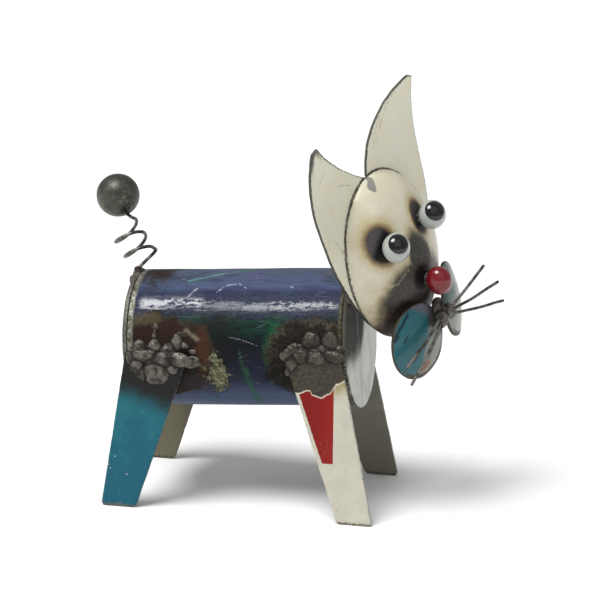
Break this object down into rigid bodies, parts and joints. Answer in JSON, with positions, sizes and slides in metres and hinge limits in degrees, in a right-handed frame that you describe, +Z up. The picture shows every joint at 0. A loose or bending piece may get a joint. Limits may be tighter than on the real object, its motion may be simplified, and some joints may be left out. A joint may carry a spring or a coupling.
{
  "type": "scrap metal cat statuette",
  "caption": "Small standing cat welded from painted scrap steel: pipe body, sheet legs, eared sheet head with ball eyes and nose, wire whiskers, and a ball on a spring for a tail.",
  "frame": {"origin": "centre of the bounding box's footprint, on the ground under the feet", "axes": "+X towards the cat's head end, +Y to the cat's left, +Z up"},
  "size_m": [0.1494, 0.0782, 0.1561],
  "materials": {
    "navy_enamel": "glossy crinkled enamel with green smears and scorched patches",
    "bare_disc": "bare dull steel",
    "silver_disc": "worn silver-white paint",
    "teal_leg": "teal paint, burnt black at the top, chipped at the edges",
    "cream_leg": "cream paint with a red patch, burnt bare at the top",
    "khaki_leg": "dull khaki paint with rust",
    "olive_leg": "dull olive grey paint",
    "weld_metal": "rough grey-brown weld metal",
    "cream_plate": "cream paint with dark bare edges",
    "cream_face": "cream paint with scorch marks",
    "eye_enamel": "gloss white enamel with black pupils",
    "nose_enamel": "gloss red enamel",
    "teal_cheek": "glossy teal paint, partly worn to bare grey",
    "wire_steel": "dark drawn wire",
    "ball_steel": "dark scratched steel ball"
  },
  "bodies": {
    "root": {"body_tube": "navy_enamel", "rear_end_disc": "bare_disc", "front_end_disc": "silver_disc", "rear_right_leg": "teal_leg", "front_right_leg": "cream_leg", "rear_left_leg": "khaki_leg", "front_left_leg": "olive_leg", "rear_right_weld": "weld_metal", "front_right_weld": "weld_metal", "rear_left_weld": "weld_metal", "front_left_weld": "weld_metal", "ear_plate": "cream_plate", "face_dome": "cream_face", "right_eye": "eye_enamel", "left_eye": "eye_enamel", "nose": "nose_enamel", "right_cheek": "teal_cheek", "left_cheek": "teal_cheek", "left_whisker_1": "wire_steel", "left_whisker_2": "wire_steel", "left_whisker_3": "wire_steel", "right_whisker_1": "wire_steel", "right_whisker_2": "wire_steel", "right_whisker_3": "wire_steel", "whisker_weld": "weld_metal", "neck_weld": "weld_metal", "tail_spring": "wire_steel", "tail_ball": "ball_steel", "tail_weld": "weld_metal"}
  },
  "joints": []
}
